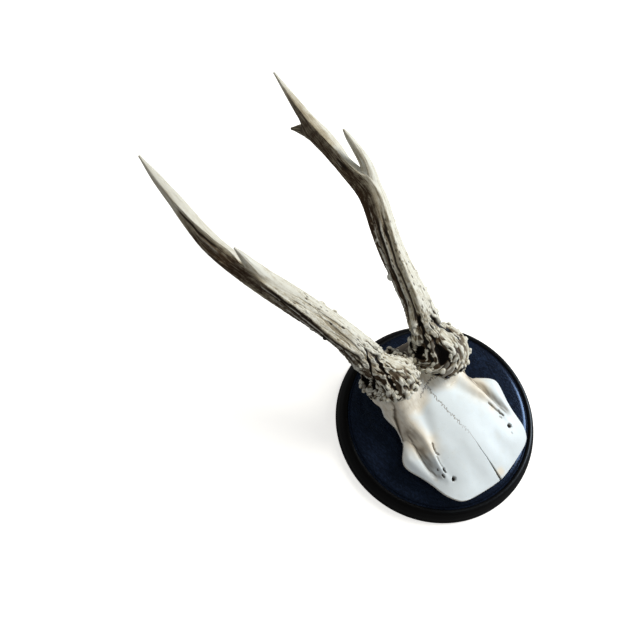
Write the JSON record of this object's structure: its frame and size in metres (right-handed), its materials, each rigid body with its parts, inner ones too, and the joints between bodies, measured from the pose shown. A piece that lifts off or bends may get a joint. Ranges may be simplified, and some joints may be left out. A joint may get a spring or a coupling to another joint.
{
  "type": "mounted roe deer antlers",
  "caption": "Roe deer antlers with pearled burrs on a cleaned skull cap, fixed to a turned round wooden plaque that hangs on a wall or lies on its flat back.",
  "frame": {"origin": "centre of the plaque's flat back", "axes": "+Z out of the plaque, +Y along the plaque towards the antler tips, +X towards the animal's left antler"},
  "size_m": [0.135, 0.2903, 0.1129],
  "materials": {
    "wood": "turned wood, stained blue-black, satin varnish",
    "bone": "bleached skull bone, dry and smooth",
    "antler": "natural antler, rough and pearled at the burr, smooth ivory at the tips"
  },
  "bodies": {
    "root": {"plaque": "wood", "skull_cap": "bone", "right_antler": "antler", "right_front_tine": "antler", "left_antler": "antler", "left_front_tine": "antler", "left_rear_tine": "antler"}
  },
  "joints": []
}
